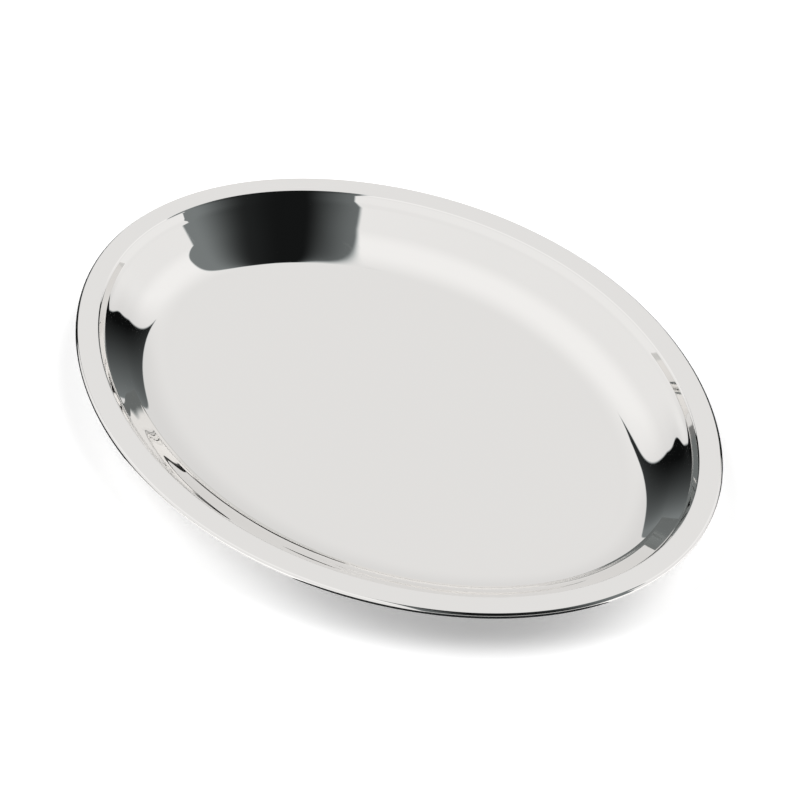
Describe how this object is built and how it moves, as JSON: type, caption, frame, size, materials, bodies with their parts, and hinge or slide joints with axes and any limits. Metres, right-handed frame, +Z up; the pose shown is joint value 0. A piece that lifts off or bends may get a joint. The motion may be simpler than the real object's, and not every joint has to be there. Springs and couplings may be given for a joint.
{
  "type": "oval serving platter",
  "caption": "Shallow oval serving platter in mirror-polished steel, with a flat floor, sloping wall, stepped shoulder, flat flange and an outer edge rolled over a wire",
  "frame": {"origin": "the middle of the flat underside, where the platter stands on a table", "axes": "+Z up out of the dish, +X along the oval's length, +Y across its width"},
  "size_m": [0.35, 0.259, 0.0204],
  "materials": {
    "polished_steel": "polished",
    "drawn_steel": "satin"
  },
  "bodies": {
    "root": {"dish": "polished_steel", "rim_wire": "drawn_steel"}
  },
  "joints": []
}
